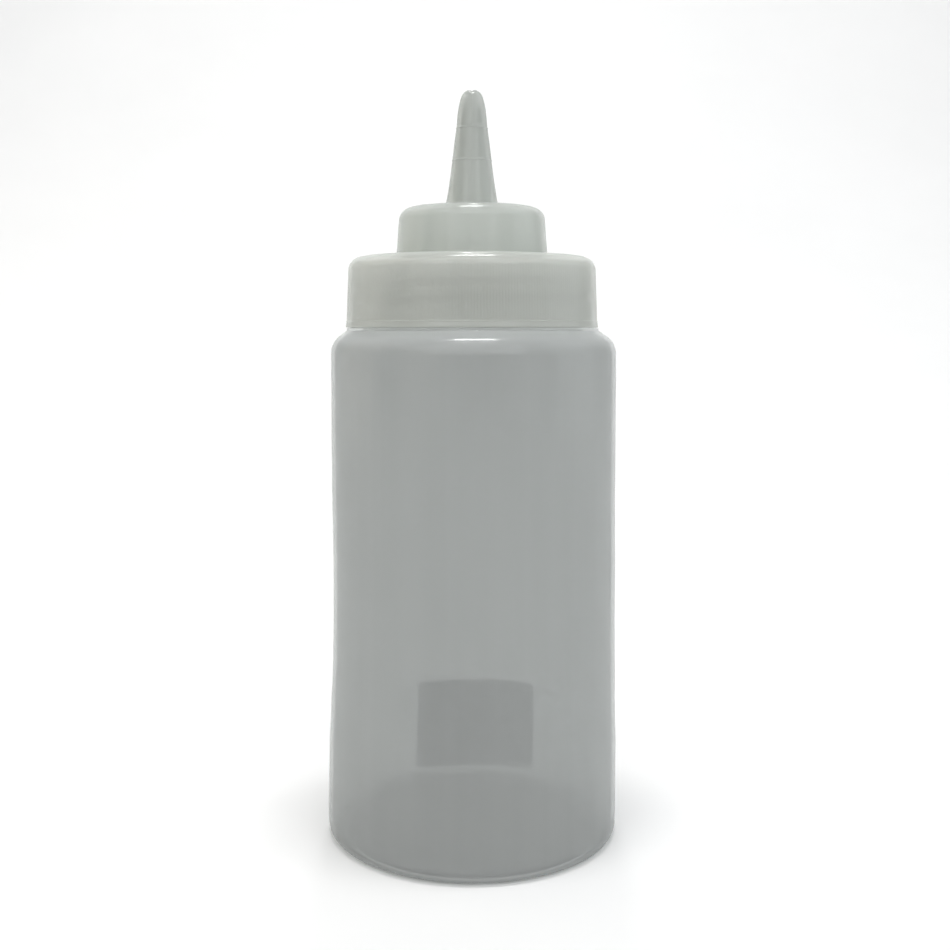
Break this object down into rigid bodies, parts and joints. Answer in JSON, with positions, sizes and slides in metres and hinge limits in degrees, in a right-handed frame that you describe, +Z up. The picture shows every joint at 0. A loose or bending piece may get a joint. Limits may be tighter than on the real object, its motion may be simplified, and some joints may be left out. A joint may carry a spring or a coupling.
{
  "type": "condiment squeeze bottle",
  "caption": "Soft frosted squeeze bottle with a slight waist, a stepped wide-mouth screw cap, a tapered pouring nozzle and a blank rear label.",
  "frame": {"origin": "centre of the base, on the surface the bottle stands on", "axes": "+Z up the bottle's axis to the nozzle tip, -Y the front, +Y the rear face with the label"},
  "size_m": [0.0754, 0.0755, 0.1942],
  "materials": {
    "bottle": "frosted translucent soft polyethylene, satin",
    "cap": "cloudy translucent polyethylene, fine vertical serrations on the skirt",
    "seal": "soft white sealing ring",
    "label": "blank matt stock label"
  },
  "bodies": {
    "bottle_body": {"bottle": "bottle", "rear_label": "label"},
    "seal": {"seal_ring": "seal"},
    "cap_body": {"cap": "cap"}
  },
  "joints": [
    {"name": "cap_lift", "type": "slide", "parent": "bottle_body", "child": "seal", "axis": [0, 0, 1], "range_m": [0, 0.0192]},
    {"name": "cap_turn", "type": "hinge", "parent": "seal", "child": "cap_body", "pos_m": [0, 0, 0.1482], "axis": [0, 0, 1], "range_deg": [0, 1620]}
  ],
  "couplings": [
    {"joint": "cap_lift", "follows": "cap_turn", "m_per_rad": 0.00067376}
  ]
}
